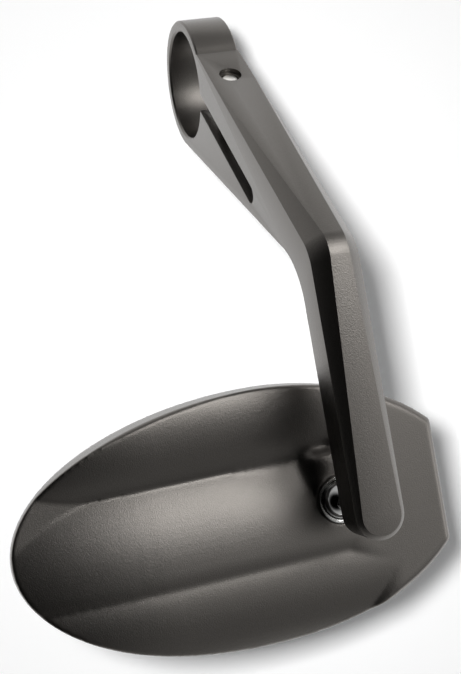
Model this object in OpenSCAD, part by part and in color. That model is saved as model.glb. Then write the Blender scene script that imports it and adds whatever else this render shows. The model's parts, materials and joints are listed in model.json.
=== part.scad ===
// Bar end mirror: a machined arm whose eye clamps round the end of a handlebar,
// and an oval mirror head that hangs on the arm by a ball joint.
// Origin: centre of the clamp eye. X runs along the clamp bore, Y points from the
// front of the arm towards the mirror glass, and Z points up along the arm.

/* [Clamp eye] */
// Diameter of the bore that grips the bar end
bore_d = 32; // [28:0.5:36]
// Radial wall of the eye
eye_wall = 3.2; // [2.8:0.1:5]
// Width of the eye and of the whole arm along the bore
arm_w = 12.8; // [12:0.2:18]

/* [Arm] */
// Lean of the upper part of the arm from the horizontal
lean = 45.3; // [40:0.5:50]
// Height of the upper part's outer edges above the eye's centre line
outer_c = 16.5; // [15.5:0.1:18]
// Distance from the eye's centre plane to the front edges of the lower part
front_y = 82.9; // [78:0.5:90]
// Thickness of the lower part between its front edges and its underside
lower_t = 9.6; // [9:0.2:13]
// Slope of the underside of the upper part from the horizontal
under_slope = 29; // [27:0.5:31]
// Fillet in the elbow on the underside
elbow_r = 17; // [8:1:20]
// Height of the faceted crest over the edges at the elbow
crest_rise = 4; // [2:0.1:5]
// Half width of the flat on the crest at the elbow
crest_half = 2.4; // [1.5:0.1:4]
// Height of the crest over the edges at the round end
end_rise = 1.2; // [0.4:0.1:2]
// Distance along the arm at which the crest starts to rise
crest_start = 25; // [24:1:40]
// Distance from the ball's centre down to the centre of the round end
end_past = 1.2; // [0:0.1:3]
// Chamfer along the arm's edges
edge_cut = 0.5; // [0.3:0.1:0.8]

/* [Clamp slot and screw] */
// Width of the slot that lets the eye close
slot_w = 5.2; // [3:0.2:6]
// Height of the slot's middle above the line through the bore's centre
slot_c = 3.9; // [3:0.1:4.5]
// Distance along the arm at which the slot's round end stops
slot_end = 63.5; // [50:0.5:66]
// Distance of the screw from the bore's centre along the arm
screw_s = 22; // [21.5:0.1:24]
// Thread diameter of the clamp screw
screw_d = 5; // [4:0.5:6]
// Length of the screw under its head
screw_len = 20; // [19:0.5:22]
// Depth of the head's seat below the bore's centre line
seat_c = 4; // [3:0.1:5]
// Diameter of the mouth of the tapped hole on the outer face
mouth_d = 6.4; // [6:0.1:7]
// Depth of that mouth
mouth_depth = 1.2; // [0.8:0.1:2]

/* [Ball joint] */
// Diameter of the ball
ball_d = 10.4; // [10:0.1:10.8]
// Height of the ball's centre below the bore
ball_z = 124.5; // [120:0.5:128]
// Distance from the arm's underside to the ball's centre
ball_reach = 16.6; // [15.5:0.1:18]
// Diameter of the neck behind the ball
neck_d = 4.6; // [4:0.1:5]
// Distance across the flats of the stud's hexagon
hex_af = 7; // [6:0.5:8]
// Distance from the ball's centre to the hexagon
hex_from = 8; // [7.5:0.5:9]
// Thread diameter of the stud
stud_d = 5; // [4:0.5:6]
// Depth of the thread in the arm
stud_depth = 7.2; // [6:0.1:8]
// Thickness of the nylon cup behind the ball
cup_t = 0.5; // [0.4:0.1:0.7]
// Distance from the ball's centre back to the rim of the cup
cup_from = 1.75; // [1.6:0.05:2]
// Diameter of the hole in the back of the cup
cup_hole_d = 4.4; // [3:0.2:6]
// Outer diameter of the polished socket ring
ring_d = 12.6; // [12.2:0.1:13]
// Height of the socket ring's front face over the ball's centre
ring_front = 1.2; // [1:0.05:1.4]
// Distance from the ball's centre back to the ring's rear face
ring_back = 0.3; // [0.2:0.05:0.5]

/* [Mirror head] */
// Half length of the oval on its long side
oval_a = 66.4; // [60:0.2:75]
// Half length of the oval on its short, cut side
oval_cut_a = 57; // [52:0.5:65]
// Half height of the oval
oval_b = 33.8; // [33:0.1:38]
// Distance from the ball to the oval's centre
oval_x = 20; // [15:0.5:24]
// Height of the oval's centre above the ball
oval_z = -0.7; // [-1:0.1:0]
// Distance from the ball to the straight cut end
cut_x = 29.8; // [24:0.2:32]
// Radius of the two corners of the cut end
corner_r = 2; // [1:0.5:4]
// Distance from the ball's centre out to the flat of the back
flat_rise = 0.7; // [0.5:0.05:0.8]
// Depth of the head from the flat of its back to its glass side rim
head_depth = 10.2; // [10:0.1:12]
// Amount by which the side wall leans in from the glass side to the back
rim_lean = 0.4; // [0.4:0.1:1.5]
// Width of the bevel round the back
rim_bevel = 1.4; // [0.6:0.1:2]
// Height of the upright band of the side wall next to the glass
rim_band = 2.5; // [1.5:0.1:3]
// Wall round the glass
rim_wall = 1.5; // [1.2:0.1:2.5]

/* [Lobes on the back] */
// Height of the middle lobe's crest above the ball, below which it rolls off
mid_z = -9.5; // [-11:0.5:-7]
// Radius of the middle lobe above its crest
mid_r = 50; // [44:1:60]
// Radius of the middle lobe's roll-off below its crest
mid_roll_r = 14; // [10:1:20]
// Height of the lower lobe's crest above the ball
low_z = -19; // [-20:0.5:-18]
// Radius of the lower lobe
low_r = 26; // [22:1:32]
// Height of the upper lobe's crest above the ball
high_z = 27; // [25:0.5:29]
// Radius of the upper lobe
high_r = 26; // [22:1:32]
// Depth of the upper lobe's crest below the flat
high_drop = 0.5; // [0:0.1:1]
// Distance from the ball at which the lobes start to fall to the tip
fall_x = 46; // [40:1:55]
// Radius of the lobes' fall to the tip
fall_r = 176; // [150:2:220]

/* [Flat of the back] */
// Distance from the ball to the middle of the round flat
flat_x = 20; // [18:0.5:21]
// Radius out to which that flat is level
flat_r = 19; // [17:0.5:20]
// Radius of its edge
edge_r = 23.5; // [22:0.5:24.5]
// Radius over which the flat rolls off to its edge
flat_roll_r = 24; // [16:1:32]
// Distance from the ball to the step at the flat's left end
step_x = 7.2; // [7:0.1:9]
// Height of the top of that step above the ball
step_z = 13; // [12:0.5:14]
// Radius of the step's rounded edge
step_r = 3; // [2:0.1:4]
// Distance from the ball at which the flat takes up the whole height of the head
flat_out_x = 14; // [8:0.5:16]
// Radius over which it rolls off from there into the lobes
flat_out_r = 20; // [14:1:30]

/* [Glass] */
// Thickness of the glass
glass_t = 1.8; // [1.6:0.1:2.5]
// Radius of the convex glass
glass_r = 1200; // [800:50:2000]
// Gap between the glass and the wall round it, filled by the seal
glass_gap = 0.8; // [0.5:0.1:1.2]
// Depth of the glass's edge below the rim
glass_sunk = 0.3; // [0.2:0.1:0.8]
// Thickness of the adhesive foam pad at the glass's edge
pad_t = 0.5; // [0.4:0.1:1]
// Metal between the pad's floor and the level down to which the back is cut
floor_t = 1.6; // [1.2:0.1:1.8]

/* [Hidden] */

black = "#2b2a29";
steel = "#b9bbbd";
nylon = "#e8e4d8";
foam = "#3a3a3c";
silver = "#c9d3da";
rubber = "#1c1c1d";

// Clearances: on a thread, round the ball, between flat faces, on a press fit and on a loose fit
fit_gap = 0.05;
ball_gap = 0.05;
face_gap = 0.05;
press_gap = 0.02;
loose_gap = 0.25;
// Past the end of a cut, so that it leaves no skin
over = 1;
// Difference in size between chamfers that meet, and how far one runs on past the other
edge_step = 0.05;
run_on_len = 3;
run_on_turn = 8;
round_fn = 96;
oval_steps = 36;
corner_steps = 4;
arc_steps = 14;

end_z = ball_z + end_past;
bore_r = bore_d / 2;
eye_r = bore_r + eye_wall;
half_w = arm_w / 2;
stud_r = stud_d / 2;
ball_r = ball_d / 2;

// Frame of the upper part: s runs down the arm and c points out of its front
function arm_c(y, z) = -y * sin(lean) + z * cos(lean);
function arm_yz(s, c) = [-s * cos(lean) - c * sin(lean), -s * sin(lean) + c * cos(lean)];

// Side view of the arm, as [y, z]
under_y = -(front_y - lower_t);
under_n = [sin(under_slope), -cos(under_slope)];
under_dir = [cos(under_slope), sin(under_slope)];
elbow = [under_y, (under_n[0] * under_y - eye_r) / -under_n[1]];
under_tangent = eye_r * under_n;
elbow_turn = 90 + under_slope;
elbow_len = elbow_r / tan(elbow_turn / 2);
elbow_sweep = 180 - elbow_turn;
// Angle from the upper part's c to where its outer edge meets the eye
shoulder_turn = -acos(outer_c / eye_r);
edge_s = (front_y - outer_c * sin(lean)) / cos(lean);
edge_kink = arm_yz(edge_s, outer_c);
kink = [-front_y - crest_rise, edge_kink[1] + crest_rise * tan((90 - lean) / 2)];
kink_c = arm_c(kink[0], kink[1]);
crest_low = [-front_y - end_rise, -end_z - half_w / 2];
bottom_z = -end_z - half_w;
arm_floor = bottom_z - over;

// Clamp screw, measured along the upper part's c
washer_t = 1;
washer_d = 2 * screw_d;
head_d = 1.7 * screw_d;
head_h = screw_d;
hex_key = 0.8 * screw_d;
key_depth = 0.5 * screw_d;
pocket_r = washer_d / 2 + loose_gap;
pocket_len = 3 * screw_d;
tip_chamfer = 0.5;
head_chamfer = 0.4;

// Ball joint, along Y
ball_pos = [0, under_y + ball_reach, -ball_z];
washer2_t = 1.2;
washer2_d = 1.7 * stud_d;
hex_to = ball_reach - washer2_t - face_gap;
cup_in = ball_r + ball_gap;
cup_out = cup_in + cup_t;
socket_r = cup_out + ball_gap;
ring_r = ring_d / 2;
// Inside of the ring: its funnel starts just before the ball's face ends, and leaves a flat front face
ring_face = 0.65;
face_end = 0.775 * ring_front;
funnel_start = 0.75 * ring_front;
ring_lip = sqrt(cup_in * cup_in - face_end * face_end);

// Levels of the head along Y
flat_y = ball_pos[1] - flat_rise;
rim_y = flat_y + head_depth;
glass_edge_y = rim_y - glass_sunk;
ledge_y = glass_edge_y - glass_t - pad_t;
floor_y = ledge_y - floor_t;
glass_inset = rim_wall + glass_gap;
glass_sag = oval_a * oval_a / (2 * glass_r);
fall_turn = asin((oval_a + oval_x - fall_x + over) / fall_r);

// Oval of the head in [x, z] about the ball, drawn in by an inset all round
function oval_h(x, inset) = (oval_b - inset)
    * sqrt(1 - pow((x + oval_x) / (oval_cut_a - inset), 2));
function corner_turn(inset) = atan2((cut_x - inset + oval_x) / pow(oval_cut_a - inset, 2),
    oval_h(cut_x - inset, inset) / pow(oval_b - inset, 2));
function corner_mid(inset) = [cut_x - inset - corner_r,
    oval_h(cut_x - inset - corner_r, inset + corner_r)];
function cut_corner(inset) = [for (i = [0 : corner_steps])
    let (t = (90 - corner_turn(inset)) * i / corner_steps)
    corner_mid(inset) + corner_r * [cos(t), sin(t)]];
function cut_side(inset) = [for (i = [1 : oval_steps / 2])
    let (x0 = corner_mid(inset)[0] + corner_r * cos(90 - corner_turn(inset)),
        t = acos((x0 + oval_x) / (oval_cut_a - inset)),
        k = t + (90 - t) * i / (oval_steps / 2))
    [-oval_x + (oval_cut_a - inset) * cos(k), (oval_b - inset) * sin(k)]];
function long_side(inset) = [for (i = [1 : oval_steps])
    let (k = 90 + 90 * i / oval_steps)
    [-oval_x + (oval_a - inset) * cos(k), (oval_b - inset) * sin(k)]];
function half_oval(inset) = concat(cut_corner(inset), cut_side(inset), long_side(inset));
function oval(inset) = let (h = half_oval(inset), n = len(h))
    concat(h, [for (i = [n - 2 : -1 : 0]) [h[i][0], -h[i][1]]]);

module along_x(w) {
    translate([-w / 2, 0, 0]) rotate([90, 0, 90]) linear_extrude(w) children();
}

// Turned part about a line through the ball: x is the radius, y points to the arm
module about_ball() {
    translate(ball_pos) rotate([90, 0, 0]) rotate_extrude($fn = round_fn) children();
}

module on_arm(s, c) {
    rotate([lean, 0, 0]) translate([0, -s, c]) children();
}

// Oval block from one level back to another, both along Y
module oval_block(inset, y_front, y_back) {
    translate([0, y_back, oval_z - ball_z]) rotate([90, 0, 0])
        linear_extrude(y_back - y_front) polygon(oval(inset));
}

module arm_side() {
    difference() {
        union() {
            circle(r = eye_r, $fn = round_fn);
            polygon([under_tangent, [0, 0], arm_yz(0, outer_c), arm_yz(crest_start, outer_c), kink,
                crest_low, [crest_low[0], arm_floor], [under_y, arm_floor], elbow]);
            difference() {
                polygon([elbow, elbow - [0, elbow_len], elbow + elbow_len * under_dir]);
                translate(elbow + [elbow_r, -elbow_len]) circle(r = elbow_r, $fn = round_fn);
            }
        }
        circle(r = bore_r, $fn = round_fn);
        slot_side();
    }
}

module slot_side() {
    rotate(lean) {
        translate([-slot_end + slot_w / 2, slot_c - slot_w / 2])
            square([slot_end - slot_w / 2 - bore_r / 2, slot_w]);
        translate([-slot_end + slot_w / 2, slot_c]) circle(r = slot_w / 2, $fn = round_fn);
    }
}

// Wedge that planes a facet from an edge of the arm up to its crest
module facet(edge_h, rise) {
    run = half_w - crest_half;
    for (side = [0, 1]) mirror([side, 0, 0]) linear_extrude(2 * end_z, center = true)
        polygon([[half_w + over, edge_h - over * rise / run], [half_w - 2 * run, edge_h + 2 * rise],
            [half_w + over, edge_h + 2 * rise]]);
}

module arm_facets() {
    rotate([180, 0, 0]) facet(front_y, crest_rise);
    intersection() {
        rotate([lean, 0, 0]) rotate([90, 0, 0]) facet(outer_c, kink_c - outer_c);
        on_arm(crest_start + end_z, outer_c)
            cube([2 * arm_w, 2 * end_z, 2 * eye_r], center = true);
    }
}

// Trims the lower part to its round end, whose front rim slopes like the facets
module round_end() {
    slope = (half_w - crest_half) / crest_rise;
    translate([0, -front_y, -end_z]) difference() {
        translate([-arm_w, -front_y / 2, -arm_w]) cube([2 * arm_w, front_y, arm_w]);
        rotate([90, 0, 0]) rotate_extrude($fn = round_fn)
            polygon([[0, -front_y], [half_w, -front_y], [half_w, 0],
                [half_w - 2 * end_rise * slope, 2 * end_rise], [0, 2 * end_rise]]);
    }
}

// Bar that chamfers both edges along a straight stretch of the side view
module edge_bar(from, turn, length) {
    for (side = [0, 1]) mirror([side, 0, 0]) translate([half_w, from[0], from[1]])
        rotate([turn, 0, 0]) linear_extrude(length)
            polygon([[-2 * edge_cut, edge_cut], [edge_cut, -2 * edge_cut], [edge_cut, edge_cut]]);
}

// Ring that chamfers both edges round an arc of the side view, as seen along X; out is -1 round a hole
module edge_ring(middle, r, cut, out, from_turn, turn) {
    for (side = [0, 1]) mirror([side, 0, 0]) translate([half_w, middle[0], middle[1]])
        rotate([from_turn, 0, 0]) rotate([90, 0, 90]) rotate_extrude(angle = turn, $fn = round_fn)
            polygon([[r - 2 * out * cut, cut], [r + out * cut, -2 * cut], [r + out * cut, cut]]);
}

// The chamfers run on past each other and differ a little in size, so that no faces of theirs coincide
module edge_cuts() {
    foot_z = -end_z - half_w;
    edge_bar([under_y, foot_z], 0, elbow[1] - elbow_len - foot_z);
    edge_bar(elbow + elbow_len * under_dir, under_slope - 90,
        norm(under_tangent - elbow) - elbow_len + run_on_len);
    edge_ring([0, 0], bore_r, edge_cut, -1, 0, 360);
    edge_ring([0, 0], eye_r, edge_cut - edge_step, 1, under_slope - 90,
        2 * 90 + lean - under_slope - shoulder_turn);
    edge_ring(elbow + [elbow_r, -elbow_len], elbow_r, edge_cut + edge_step, -1,
        180 - elbow_sweep - run_on_turn, elbow_sweep + 2 * run_on_turn);
}

module screw_holes() {
    on_arm(screw_s, 0) {
        cylinder(r = screw_d / 2 + fit_gap, h = outer_c + over, $fn = round_fn);
        translate([0, 0, -seat_c - over])
            cylinder(r = screw_d / 2 + loose_gap, h = seat_c + slot_c, $fn = round_fn);
        translate([0, 0, outer_c - mouth_depth])
            cylinder(r = mouth_d / 2, h = mouth_depth + over, $fn = round_fn);
        translate([0, 0, -seat_c - pocket_len])
            cylinder(r = pocket_r, h = pocket_len, $fn = round_fn);
    }
}

module arm() {
    color(black) difference() {
        along_x(arm_w) arm_side();
        arm_facets();
        round_end();
        edge_cuts();
        screw_holes();
        translate([0, under_y + over, -ball_z]) rotate([90, 0, 0])
            cylinder(r = stud_r + fit_gap, h = stud_depth + over, $fn = round_fn);
    }
}

module hex_prism(af, h) {
    cylinder(d = af / cos(30), h = h, $fn = 6);
}

module clamp_screw() {
    color(steel) on_arm(screw_s, -seat_c - washer_t) difference() {
        rotate_extrude($fn = round_fn) polygon([[0, -head_h], [head_d / 2 - head_chamfer, -head_h],
            [head_d / 2, -head_h + head_chamfer], [head_d / 2, 0], [screw_d / 2, 0],
            [screw_d / 2, screw_len - tip_chamfer], [screw_d / 2 - tip_chamfer, screw_len], [0, screw_len]]);
        translate([0, 0, -head_h - over]) hex_prism(hex_key, key_depth + over);
    }
}

module clamp_washer() {
    color(steel) on_arm(screw_s, -seat_c - washer_t) difference() {
        cylinder(d = washer_d, h = washer_t, $fn = round_fn);
        translate([0, 0, -over])
            cylinder(r = screw_d / 2 + loose_gap, h = washer_t + 2 * over, $fn = round_fn);
    }
}

module ball_stud() {
    color(steel) {
        about_ball() {
            intersection() {
                circle(r = ball_r, $fn = round_fn);
                translate([0, -ball_r]) square([ball_r, ball_d]);
            }
            square([neck_d / 2, hex_from + over]);
            translate([0, hex_to - over]) square([stud_r, ball_reach + stud_depth - hex_to]);
        }
        translate(ball_pos) rotate([90, 0, 0]) translate([0, 0, hex_from])
            hex_prism(hex_af, hex_to - hex_from);
    }
}

module stud_washer() {
    color(steel) about_ball() translate([stud_r + loose_gap, ball_reach - washer2_t])
        square([washer2_d / 2 - stud_r - loose_gap, washer2_t]);
}

module ball_cup() {
    color(nylon) about_ball() difference() {
        circle(r = cup_out, $fn = round_fn);
        circle(r = cup_in, $fn = round_fn);
        translate([-cup_out - over, -cup_from])
            square([2 * (cup_out + over), cup_out + cup_from + over]);
        translate([-cup_out - over, -cup_out - over])
            square([cup_out + over + cup_hole_d / 2, 2 * (cup_out + over)]);
    }
}

module socket_ring() {
    color(steel) about_ball() difference() {
        translate([0, -ring_back]) square([ring_r, ring_back + ring_front]);
        circle(r = cup_in, $fn = round_fn);
        polygon([[0, 0], [ring_lip, 0], [ring_lip, funnel_start], [ring_r - ring_face, ring_front],
            [ring_r - ring_face, ring_front + over], [0, ring_front + over]]);
    }
}

// Depth of an arc of radius r below its crest, at a distance from it
function arc_drop(r, run) = r - sqrt(r * r - run * run);

// Section through the back's lobes, with x as the depth below the flat and y as the height
module lobe_section() {
    intersection() {
        union() {
            intersection() {
                translate([mid_r, mid_z]) circle(r = mid_r, $fn = 2 * round_fn);
                translate([0, mid_z]) square([head_depth, 2 * oval_b]);
            }
            translate([mid_roll_r, mid_z]) circle(r = mid_roll_r, $fn = round_fn);
            translate([low_r, low_z]) circle(r = low_r, $fn = round_fn);
            translate([high_r + high_drop, high_z]) circle(r = high_r, $fn = round_fn);
        }
        translate([0, oval_z - oval_b]) square([head_depth - rim_wall, 2 * oval_b]);
    }
}

// Lobes: the section runs along X and then turns down to the tip about a line far behind the glass
module lobes() {
    translate([-fall_x, flat_y, -ball_z]) {
        rotate([90, 0, 90]) linear_extrude(fall_x + flat_x) lobe_section();
        translate([0, fall_r, 0]) rotate([0, 0, 3 * 90 - fall_turn])
            rotate_extrude(angle = fall_turn, $fn = 2 * round_fn)
                translate([fall_r, 0]) mirror([1, 0]) lobe_section();
    }
}

// Flat round the ball, with an edge that rolls off, a step at its left end and a run out to the rim
module back_flat() {
    roll_mid = head_depth - flat_roll_r;
    translate([flat_x, rim_y, -ball_z]) rotate([90, 0, 0]) rotate_extrude($fn = round_fn) {
        square([flat_r, head_depth]);
        intersection() {
            translate([flat_r, roll_mid]) circle(r = flat_roll_r, $fn = 2 * round_fn);
            square([edge_r, head_depth]);
        }
    }
    translate([-step_x, flat_y, mid_z - ball_z]) linear_extrude(step_z - mid_z) {
        translate([step_r, 0]) square([flat_x, head_depth]);
        translate([step_r, step_r]) circle(r = step_r, $fn = round_fn);
        translate([0, step_r]) square([flat_x, head_depth - step_r]);
    }
    translate([flat_out_x, flat_y, oval_z - ball_z - oval_b]) linear_extrude(2 * oval_b) {
        square([cut_x, head_depth]);
        intersection() {
            translate([0, flat_out_r]) circle(r = flat_out_r, $fn = 2 * round_fn);
            translate([-flat_out_r, 0]) square([flat_out_r, head_depth]);
        }
    }
}

// Solid between ovals, each given by its inset and its level along Y
module oval_stack(insets, levels) {
    rings = [for (i = [0 : len(insets) - 1]) [for (p = oval(insets[i])) [p[0], levels[i], p[1]]]];
    n = len(rings[0]);
    last = (len(rings) - 1) * n;
    translate([0, 0, oval_z - ball_z]) polyhedron(points = [for (ring = rings) each ring],
        faces = concat([[for (i = [0 : n - 1]) i], [for (i = [n - 1 : -1 : 0]) last + i]],
            [for (k = [0 : n : last - n], i = [0 : n - 1])
                [k + (i + 1) % n, k + i, k + n + i, k + n + (i + 1) % n]]));
}

// Outer form of the head: an upright band, a wall that leans in and a bevel that runs on up
module oval_body() {
    oval_stack([0, 0, rim_lean, rim_lean + rim_bevel + over],
        [rim_y, rim_y - rim_band, flat_y + rim_bevel, flat_y - over]);
}

module head_shell() {
    color(black) difference() {
        intersection() {
            oval_body();
            union() {
                oval_block(0, floor_y, rim_y + over);
                lobes();
                back_flat();
            }
        }
        oval_block(rim_wall, ledge_y, rim_y + over);
        about_ball() {
            intersection() {
                circle(r = socket_r, $fn = round_fn);
                translate([0, -socket_r]) square([socket_r, socket_r]);
            }
            translate([0, -ring_back]) square([ring_r + press_gap, ring_back + ring_front + over]);
        }
    }
}

// Blank with convex faces towards +Y, cut from one height to another at its edge
module convex_blank(edge_low, edge_high) {
    top = [for (i = [0 : arc_steps]) let (run = oval_a * i / arc_steps)
        [run, glass_sag - arc_drop(glass_r, run)]];
    translate([-oval_x, 0, oval_z - ball_z]) rotate([-90, 0, 0]) rotate_extrude($fn = 2 * round_fn)
        polygon(concat([for (p = top) [p[0], edge_high + p[1]]],
            [for (i = [arc_steps : -1 : 0]) [top[i][0], edge_low + top[i][1]]]));
}

// Foam sheet that fills the space between the flat ledge and the curved glass
module glass_pad() {
    color(foam) intersection() {
        oval_block(glass_inset, ledge_y, rim_y + over);
        convex_blank(ledge_y - glass_sag - pad_t, glass_edge_y - glass_t);
    }
}

module mirror_glass() {
    color(silver) intersection() {
        oval_block(glass_inset, ledge_y, rim_y + glass_sag + over);
        convex_blank(glass_edge_y - glass_t, glass_edge_y);
    }
}

module edge_seal() {
    color(rubber) difference() {
        oval_block(rim_wall, ledge_y, glass_edge_y);
        oval_block(glass_inset, ledge_y - over, rim_y);
    }
}

arm();
clamp_screw();
clamp_washer();
ball_stud();
stud_washer();
ball_cup();
socket_ring();
head_shell();
glass_pad();
mirror_glass();
edge_seal();
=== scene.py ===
import itertools
import json
import math

import bpy
from mathutils import Matrix, Vector


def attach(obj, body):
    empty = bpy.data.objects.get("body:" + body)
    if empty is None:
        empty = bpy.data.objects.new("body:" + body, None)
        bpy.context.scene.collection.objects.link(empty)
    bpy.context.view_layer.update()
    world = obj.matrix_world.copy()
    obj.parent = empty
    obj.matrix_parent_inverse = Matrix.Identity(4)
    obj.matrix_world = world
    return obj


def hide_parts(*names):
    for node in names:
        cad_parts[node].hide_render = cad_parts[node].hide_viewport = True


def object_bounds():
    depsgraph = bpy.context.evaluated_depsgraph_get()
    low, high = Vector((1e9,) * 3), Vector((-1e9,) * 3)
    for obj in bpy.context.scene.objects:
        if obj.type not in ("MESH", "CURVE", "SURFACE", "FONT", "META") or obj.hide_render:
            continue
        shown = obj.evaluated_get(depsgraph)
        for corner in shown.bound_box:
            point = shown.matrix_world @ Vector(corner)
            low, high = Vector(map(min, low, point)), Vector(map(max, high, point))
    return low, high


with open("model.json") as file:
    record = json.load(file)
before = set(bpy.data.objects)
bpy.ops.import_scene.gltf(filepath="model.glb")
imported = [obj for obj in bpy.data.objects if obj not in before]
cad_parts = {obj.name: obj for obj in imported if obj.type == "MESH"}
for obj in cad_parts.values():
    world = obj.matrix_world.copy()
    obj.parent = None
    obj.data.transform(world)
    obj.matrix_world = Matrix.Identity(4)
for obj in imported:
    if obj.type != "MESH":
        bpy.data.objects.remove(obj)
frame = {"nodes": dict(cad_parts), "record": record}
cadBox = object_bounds()
nodes = frame["nodes"]
scene = bpy.context.scene
scene.view_settings.view_transform = "Standard"
print("frame loaded:", len(nodes), "nodes")


# Camera, solved from the arm's straight edges and the bore's oval in the photograph

camera = {
    "azimuth": -15.79,      # degrees round Z, 0 looks along +Y
    "elevation": 0.82,
    "roll": -10.04,
    "place": (-0.10606, -0.35440, -0.07299),
    "focalPx": 1200.0,      # focal length in pixels of the photograph
    "framePx": (461, 674),
    "sensor": 36.0,
    "clip": 0.01,
}


def directionTo(azimuth, elevation):
    flat = math.cos(math.radians(elevation))
    return Vector((math.sin(math.radians(azimuth)) * flat, -math.cos(math.radians(azimuth)) * flat,
                   math.sin(math.radians(elevation))))


def addCamera(look):
    back = directionTo(look["azimuth"], look["elevation"])
    right = Vector((0.0, 0.0, 1.0)).cross(back).normalized()
    up = back.cross(right)
    roll = math.radians(look["roll"])
    rolledRight = right * math.cos(roll) + up * math.sin(roll)
    rolledUp = up * math.cos(roll) - right * math.sin(roll)
    data = bpy.data.cameras.new("camera")
    data.sensor_width = look["sensor"]
    data.lens = look["sensor"] * look["focalPx"] / max(look["framePx"])
    data.clip_start = look["clip"]
    view = bpy.data.objects.new("camera", data)
    scene.collection.objects.link(view)
    turn = Matrix((rolledRight, rolledUp, back)).transposed().to_4x4()
    turn.translation = Vector(look["place"])
    view.matrix_world = turn
    scene.camera = view
    return view, rolledRight, rolledUp, back


cameraObject, viewRight, viewUp, viewBack = addCamera(camera)
print("camera placed")


# Materials

def newMaterial(name):
    material = bpy.data.materials.new(name)
    material.use_nodes = True
    tree = material.node_tree
    return material, tree, tree.nodes["Principled BSDF"]


def addNode(tree, kind, **values):
    node = tree.nodes.new(kind)
    for key, value in values.items():
        if hasattr(node, key):
            setattr(node, key, value)
        else:
            node.inputs[key].default_value = value
    return node


def addNoise(tree, scale, detail):
    place = addNode(tree, "ShaderNodeTexCoord")
    noise = addNode(tree, "ShaderNodeTexNoise", Scale=scale, Detail=detail)
    tree.links.new(place.outputs["Object"], noise.inputs["Vector"])
    return noise.outputs["Fac"]


def addTint(tree, shader, fac, low, high):
    tint = addNode(tree, "ShaderNodeMix", data_type="RGBA")
    tint.inputs[6].default_value = low
    tint.inputs[7].default_value = high
    tree.links.new(fac, tint.inputs[0])
    tree.links.new(tint.outputs[2], shader.inputs["Base Color"])


def addBump(tree, shader, fac, strength, depth):
    bump = addNode(tree, "ShaderNodeBump", Strength=strength, Distance=depth)
    tree.links.new(fac, bump.inputs["Height"])
    tree.links.new(bump.outputs["Normal"], shader.inputs["Normal"])


# One entry for each finish: its two tints, how fine its grain is (grains to the metre), and the depth
# of that grain in metres
finishLooks = {
    "blastedBlack": {
        "low": (0.096, 0.089, 0.082, 1.0), "high": (0.134, 0.126, 0.117, 1.0),
        "metallic": 1.0, "roughness": 0.34,
        "grain": 3400.0, "detail": 3.0, "strength": 1.0, "depth": 0.00005,
    },
    "turnedSteel": {
        "low": (0.52, 0.52, 0.51, 1.0), "high": (0.66, 0.66, 0.65, 1.0),
        "metallic": 1.0, "roughness": 0.3,
        "grain": 900.0, "detail": 2.0, "strength": 0.15, "depth": 0.00002,
    },
    "platedSteel": {
        "low": (0.86, 0.84, 0.8, 1.0), "high": (0.94, 0.92, 0.89, 1.0),
        "metallic": 1.0, "roughness": 0.42,
        "grain": 900.0, "detail": 2.0, "strength": 0.1, "depth": 0.00002,
    },
    "polishedSteel": {
        "low": (0.6, 0.6, 0.59, 1.0), "high": (0.7, 0.7, 0.69, 1.0),
        "metallic": 1.0, "roughness": 0.14,
        "grain": 500.0, "detail": 1.0, "strength": 0.05, "depth": 0.00001,
    },
    "moldedNylon": {
        "low": (0.76, 0.73, 0.66, 1.0), "high": (0.82, 0.8, 0.74, 1.0),
        "metallic": 0.0, "roughness": 0.5,
        "grain": 1200.0, "detail": 2.0, "strength": 0.1, "depth": 0.00002,
    },
    "foamSheet": {
        "low": (0.02, 0.02, 0.021, 1.0), "high": (0.06, 0.06, 0.062, 1.0),
        "metallic": 0.0, "roughness": 0.95,
        "grain": 2200.0, "detail": 1.0, "strength": 0.8, "depth": 0.0001,
    },
    "silveredGlass": {
        "low": (0.5, 0.53, 0.55, 1.0), "high": (0.54, 0.57, 0.59, 1.0),
        "metallic": 1.0, "roughness": 0.02,
        "grain": 30.0, "detail": 0.0, "strength": 0.0, "depth": 0.0,
    },
    "sealRubber": {
        "low": (0.016, 0.016, 0.016, 1.0), "high": (0.03, 0.03, 0.03, 1.0),
        "metallic": 0.0, "roughness": 0.65,
        "grain": 1800.0, "detail": 2.0, "strength": 0.3, "depth": 0.00003,
    },
}


def makeFinish(name, look):
    material, tree, shader = newMaterial(name)
    grain = addNoise(tree, look["grain"], look["detail"])
    addTint(tree, shader, grain, look["low"], look["high"])
    if look["strength"] > 0:
        addBump(tree, shader, grain, look["strength"], look["depth"])
    shader.inputs["Metallic"].default_value = look["metallic"]
    shader.inputs["Roughness"].default_value = look["roughness"]
    return material


finishes = {name: makeFinish(name, look) for name, look in finishLooks.items()}

nodeFinishes = {
    "arm": "blastedBlack", "head_shell": "blastedBlack", "clamp_screw": "platedSteel",
    "clamp_washer": "turnedSteel", "stud_washer": "turnedSteel", "ball_stud": "polishedSteel",
    "socket_ring": "polishedSteel", "ball_cup": "moldedNylon", "glass_pad": "foamSheet",
    "mirror_glass": "silveredGlass", "edge_seal": "sealRubber",
}


def dress(piece, finishName):
    piece.data.materials.clear()
    piece.data.materials.append(finishes[finishName])


for nodeName, finishName in nodeFinishes.items():
    dress(nodes[nodeName], finishName)
print("materials made")


# Every piece is a refined copy of its CAD node, in the same place

bodies = frame["record"]["behaviour"]["bodies"]
bodyOf = {nodeName: body for body, names in bodies.items() for nodeName in names}

copying = {
    "mergeGap": 0.000002,   # corners of the CAD mesh closer than this are one corner
    "flatAngle": 0.6,       # faces that meet at less than this, in degrees, are one face
    "smoothAngle": 30.0,    # edges sharper than this, in degrees, stay sharp in the shading
}


def select(piece):
    bpy.ops.object.select_all(action="DESELECT")
    piece.select_set(True)
    bpy.context.view_layer.objects.active = piece


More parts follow.
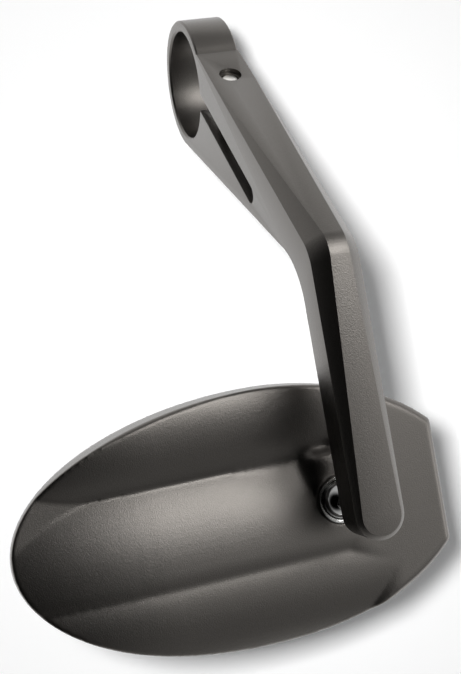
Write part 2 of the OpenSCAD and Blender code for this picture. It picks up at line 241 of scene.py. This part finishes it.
def copyNode(nodeName, name):
    select(nodes[nodeName])
    bpy.ops.object.duplicate()
    piece = bpy.context.active_object
    piece.name = name
    bpy.ops.object.mode_set(mode="EDIT")
    bpy.ops.mesh.select_all(action="SELECT")
    bpy.ops.mesh.remove_doubles(threshold=copying["mergeGap"])
    bpy.ops.mesh.customdata_custom_splitnormals_clear()
    bpy.ops.object.mode_set(mode="OBJECT")
    return piece


def applyAll(piece):
    select(piece)
    for modifier in list(piece.modifiers):
        bpy.ops.object.modifier_apply(modifier=modifier.name)


def joinFlats(piece):
    flats = piece.modifiers.new("flats", "DECIMATE")
    flats.decimate_type = "DISSOLVE"
    flats.angle_limit = math.radians(copying["flatAngle"])
    applyAll(piece)


def softenEdges(piece, width, segments, angle):
    bevel = piece.modifiers.new("edges", "BEVEL")
    bevel.width = width
    bevel.segments = segments
    bevel.limit_method = "ANGLE"
    bevel.angle_limit = math.radians(angle)
    bevel.miter_outer = "MITER_ARC"
    applyAll(piece)
    bpy.ops.object.shade_smooth_by_angle(angle=math.radians(copying["smoothAngle"]))


def clearSelection(piece):
    select(piece)
    bpy.ops.object.mode_set(mode="EDIT")
    bpy.ops.mesh.select_all(action="DESELECT")
    bpy.ops.object.mode_set(mode="OBJECT")


def finishPiece(piece, nodeName):
    dress(piece, nodeFinishes[nodeName])
    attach(piece, bodyOf[nodeName])
    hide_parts(nodeName)


arm = {
    "edge": 0.0007,         # width of the softened edges
    "segments": 3,
    "angle": 12.0,          # edges sharper than this, in degrees, are softened
    "kink": 0.0035,         # width of the rounding across the kink of the crest
    "kinkSegments": 6,
    "kinkFront": -0.0825,   # the kink's edges lie in front of this y
    "kinkHeights": (-0.0635, -0.0575),
}


def roundKink(piece, look):
    low, high = look["kinkHeights"]
    mesh = piece.data
    for edge in mesh.edges:
        ends = [mesh.vertices[index].co for index in edge.vertices]
        edge.select = all(end.y < look["kinkFront"] and low < end.z < high for end in ends)
    print("kink edges:", sum(edge.select for edge in mesh.edges))
    bpy.ops.object.mode_set(mode="EDIT")
    bpy.ops.mesh.select_mode(type="EDGE")
    bpy.ops.mesh.bevel(offset=look["kink"], segments=look["kinkSegments"], affect="EDGES")
    bpy.ops.object.mode_set(mode="OBJECT")


def buildArm(look):
    piece = copyNode("arm", "clampArm")
    joinFlats(piece)
    clearSelection(piece)
    roundKink(piece, look)
    softenEdges(piece, look["edge"], look["segments"], look["angle"])
    finishPiece(piece, "arm")
    return piece


armPiece = buildArm(arm)
print("arm made:", len(armPiece.data.polygons), "faces")


head = {
    "voxel": 0.00045,       # grid that evens out the mesh
    "smooth": 8,            # passes that soften the creases and the rim
    "amount": 0.5,          # share of the way to the neighbours' middle in one pass
    "step": (-0.0065, -0.1145),     # x and z of the step at the left end of the flat
    "stepReaches": (0.02, 0.017, 0.0145, 0.012, 0.0095),    # how far from the step, one after another
    "stepSmooth": 30,               # passes at each reach
    "outward": -0.2,                # the back of the head has normals with a smaller y than this
    "socket": (0.0, -0.1245),       # x and z of the socket, whose rim is left as it is
    "socketRim": 0.0078,
}


def smoothStep(piece, look):
    for reach in look["stepReaches"]:
        clearSelection(piece)
        for vertex in piece.data.vertices:
            x, y, z = vertex.co
            onBack = vertex.normal.y < look["outward"]
            near = math.dist((x, z), look["step"]) < reach
            vertex.select = onBack and near and math.dist((x, z), look["socket"]) > look["socketRim"]
        bpy.ops.object.mode_set(mode="EDIT")
        bpy.ops.mesh.vertices_smooth(factor=look["amount"], repeat=look["stepSmooth"])
        bpy.ops.object.mode_set(mode="OBJECT")


def buildHead(look):
    piece = copyNode("head_shell", "mirrorHead")
    grid = piece.modifiers.new("grid", "REMESH")
    grid.mode = "VOXEL"
    grid.voxel_size = look["voxel"]
    soften = piece.modifiers.new("soften", "SMOOTH")
    soften.factor = look["amount"]
    soften.iterations = look["smooth"]
    applyAll(piece)
    smoothStep(piece, look)
    select(piece)
    bpy.ops.object.shade_smooth()
    finishPiece(piece, "head_shell")
    return piece


headPiece = buildHead(head)
print("head made:", len(headPiece.data.polygons), "faces")


# Small pieces: softened edges on the screw, the washers, the ball joint, the glass, its pad and its seal

smallSegments = 2
small = {
    "clamp_screw": {"name": "clampScrew", "edge": 0.00018, "angle": 20.0},
    "clamp_washer": {"name": "clampWasher", "edge": 0.00015, "angle": 30.0},
    "stud_washer": {"name": "studWasher", "edge": 0.00015, "angle": 30.0},
    "ball_stud": {"name": "ballStud", "edge": 0.0002, "angle": 25.0},
    "ball_cup": {"name": "ballCup", "edge": 0.00015, "angle": 30.0},
    "socket_ring": {"name": "socketRing", "edge": 0.0003, "angle": 25.0},
    "glass_pad": {"name": "glassPad", "edge": 0.0001, "angle": 30.0},
    "mirror_glass": {"name": "mirrorGlass", "edge": 0.0003, "angle": 25.0},
    "edge_seal": {"name": "edgeSeal", "edge": 0.0001, "angle": 30.0},
}


def buildSmall(nodeName, look):
    piece = copyNode(nodeName, look["name"])
    softenEdges(piece, look["edge"], smallSegments, look["angle"])
    finishPiece(piece, nodeName)


for nodeName, look in small.items():
    buildSmall(nodeName, look)
print("small pieces made:", len(small))


# Stage: a pale backdrop square to the camera, behind the part, that takes a soft shadow

stageLook = {
    "gap": 0.02,            # from the farthest corner of the part to the backdrop
    "size": 3.0,
    "colour": (0.9, 0.9, 0.9, 1.0),
    "roughness": 0.9,
    "glow": 1.35,           # what metal sees of the paper
}


def addBackdrop(look):
    low, high = cadBox
    corners = [Vector(corner) for corner in itertools.product(*zip(low, high))]
    depth = min(corner.dot(viewBack) for corner in corners) - look["gap"]
    bpy.ops.object.select_all(action="DESELECT")
    bpy.ops.mesh.primitive_plane_add(size=look["size"])
    plane = bpy.context.active_object
    plane.name = "backdrop"
    centre = Vector(camera["place"])
    centre += viewBack * (depth - centre.dot(viewBack))
    turn = cameraObject.matrix_world.copy()
    turn.translation = centre
    plane.matrix_world = turn
    material, tree, shader = newMaterial("paper")
    shader.inputs["Base Color"].default_value = look["colour"]
    shader.inputs["Roughness"].default_value = look["roughness"]
    glow = addNode(tree, "ShaderNodeEmission", Strength=look["glow"])
    ray = addNode(tree, "ShaderNodeLightPath")
    paper = addNode(tree, "ShaderNodeMixShader")
    tree.links.new(ray.outputs["Is Glossy Ray"], paper.inputs[0])
    tree.links.new(shader.outputs[0], paper.inputs[1])
    tree.links.new(glow.outputs[0], paper.inputs[2])
    clear = addNode(tree, "ShaderNodeBsdfTransparent")
    side = addNode(tree, "ShaderNodeNewGeometry")
    mix = addNode(tree, "ShaderNodeMixShader")
    tree.links.new(side.outputs["Backfacing"], mix.inputs[0])
    tree.links.new(paper.outputs[0], mix.inputs[1])
    tree.links.new(clear.outputs[0], mix.inputs[2])
    tree.links.new(mix.outputs[0], tree.nodes["Material Output"].inputs["Surface"])
    plane.data.materials.append(material)


addBackdrop(stageLook)


# Studio: a soft room whose level is highest at eye height and falls off above and below. Patches make it
# dark round the camera and to its left, dim high at the left, and bright at the right and at the back.
# The camera itself sees plain white.

studio = {
    # sine of the height angle, and the strength there
    "levels": ((-1.0, 0.5), (-0.8, 0.4), (-0.5, 0.5), (-0.24, 0.93),
               (0.0, 1.12), (0.5, 0.85), (0.85, 0.52), (1.0, 0.5)),
    "top": 2.0,                 # strength at the top of the curve that holds the levels
    "darkSide": {"azimuth": -46, "elevation": -5, "inner": 36, "outer": 68, "level": 0.0},
    "dimLeft": {"azimuth": -112, "elevation": 45, "inner": 20, "outer": 48, "level": 0.45},
    "brightRight": {"azimuth": 62, "elevation": -8, "inner": 8, "outer": 20, "level": 3.4},
    "whiteBack": {"azimuth": 170, "elevation": 0, "inner": 30, "outer": 60, "level": 1.5},
    "diffuseShare": 0.6,        # how much of the room reaches dull surfaces; the shadow lamp does the rest
}


def addPatch(tree, direction, level, look):
    dot = addNode(tree, "ShaderNodeVectorMath", operation="DOT_PRODUCT")
    dot.inputs[1].default_value = directionTo(look["azimuth"], look["elevation"])
    tree.links.new(direction, dot.inputs[0])
    reach = addNode(tree, "ShaderNodeMapRange", interpolation_type="SMOOTHSTEP")
    reach.inputs["From Min"].default_value = math.cos(math.radians(look["outer"]))
    reach.inputs["From Max"].default_value = math.cos(math.radians(look["inner"]))
    tree.links.new(dot.outputs["Value"], reach.inputs["Value"])
    mix = addNode(tree, "ShaderNodeMix", data_type="FLOAT")
    tree.links.new(reach.outputs["Result"], mix.inputs[0])
    tree.links.new(level, mix.inputs[2])
    mix.inputs[3].default_value = look["level"]
    return mix.outputs[0]


def addWorld(look):
    world = bpy.data.worlds.new("studio")
    scene.world = world
    world.use_nodes = True
    tree = world.node_tree
    place = addNode(tree, "ShaderNodeTexCoord")
    direction = place.outputs["Generated"]
    split = addNode(tree, "ShaderNodeSeparateXYZ")
    tree.links.new(direction, split.inputs[0])
    height = addNode(tree, "ShaderNodeMapRange")
    height.inputs["From Min"].default_value = -1.0
    tree.links.new(split.outputs["Z"], height.inputs["Value"])
    ramp = addNode(tree, "ShaderNodeFloatCurve")
    curve = ramp.mapping.curves[0]
    for index, (sine, level) in enumerate(look["levels"]):
        spot = ((sine + 1) / 2, level / look["top"])
        if index < 2:
            curve.points[index].location = spot
        else:
            curve.points.new(*spot)
    ramp.mapping.update()
    tree.links.new(height.outputs["Result"], ramp.inputs["Value"])
    scale = addNode(tree, "ShaderNodeMath", operation="MULTIPLY")
    scale.inputs[1].default_value = look["top"]
    tree.links.new(ramp.outputs["Value"], scale.inputs[0])
    level = scale.outputs[0]
    for patch in ("whiteBack", "dimLeft", "brightRight", "darkSide"):
        level = addPatch(tree, direction, level, look[patch])
    ray = addNode(tree, "ShaderNodeLightPath")
    share = addNode(tree, "ShaderNodeMapRange")
    share.inputs["To Min"].default_value = 1.0
    share.inputs["To Max"].default_value = look["diffuseShare"]
    tree.links.new(ray.outputs["Is Diffuse Ray"], share.inputs["Value"])
    dull = addNode(tree, "ShaderNodeMath", operation="MULTIPLY")
    tree.links.new(level, dull.inputs[0])
    tree.links.new(share.outputs["Result"], dull.inputs[1])
    seen = addNode(tree, "ShaderNodeMix", data_type="FLOAT")
    tree.links.new(ray.outputs["Is Camera Ray"], seen.inputs[0])
    tree.links.new(dull.outputs[0], seen.inputs[2])
    seen.inputs[3].default_value = 1.0
    tree.links.new(seen.outputs[0], tree.nodes["Background"].inputs["Strength"])
    tree.nodes["Background"].inputs["Color"].default_value = (1, 1, 1, 1)


addWorld(studio)

# The softbox shows in gloss alone, and the shadow lamp lights dull surfaces alone
lamps = {
    "softbox": {
        "azimuth": 20, "elevation": 25, "distance": 0.6, "size": 0.36, "watts": 2.1, "diffuse": False,
    },
    "shadowLamp": {
        "azimuth": -20.5, "elevation": 8.5, "distance": 0.36, "size": 0.03, "watts": 2.1, "glossy": False,
    },
}
aim = Vector((-0.02, -0.055, -0.1))


def addLamp(name, look):
    data = bpy.data.lights.new(name, "AREA")
    data.size = look["size"]
    data.energy = look["watts"]
    lamp = bpy.data.objects.new(name, data)
    scene.collection.objects.link(lamp)
    lamp.location = aim + look["distance"] * directionTo(look["azimuth"], look["elevation"])
    lamp.rotation_euler = (aim - lamp.location).to_track_quat("-Z", "Y").to_euler()
    lamp.visible_diffuse = look.get("diffuse", True)
    lamp.visible_glossy = look.get("glossy", True)


for lampName, look in lamps.items():
    addLamp(lampName, look)
print("stage and lamps placed")
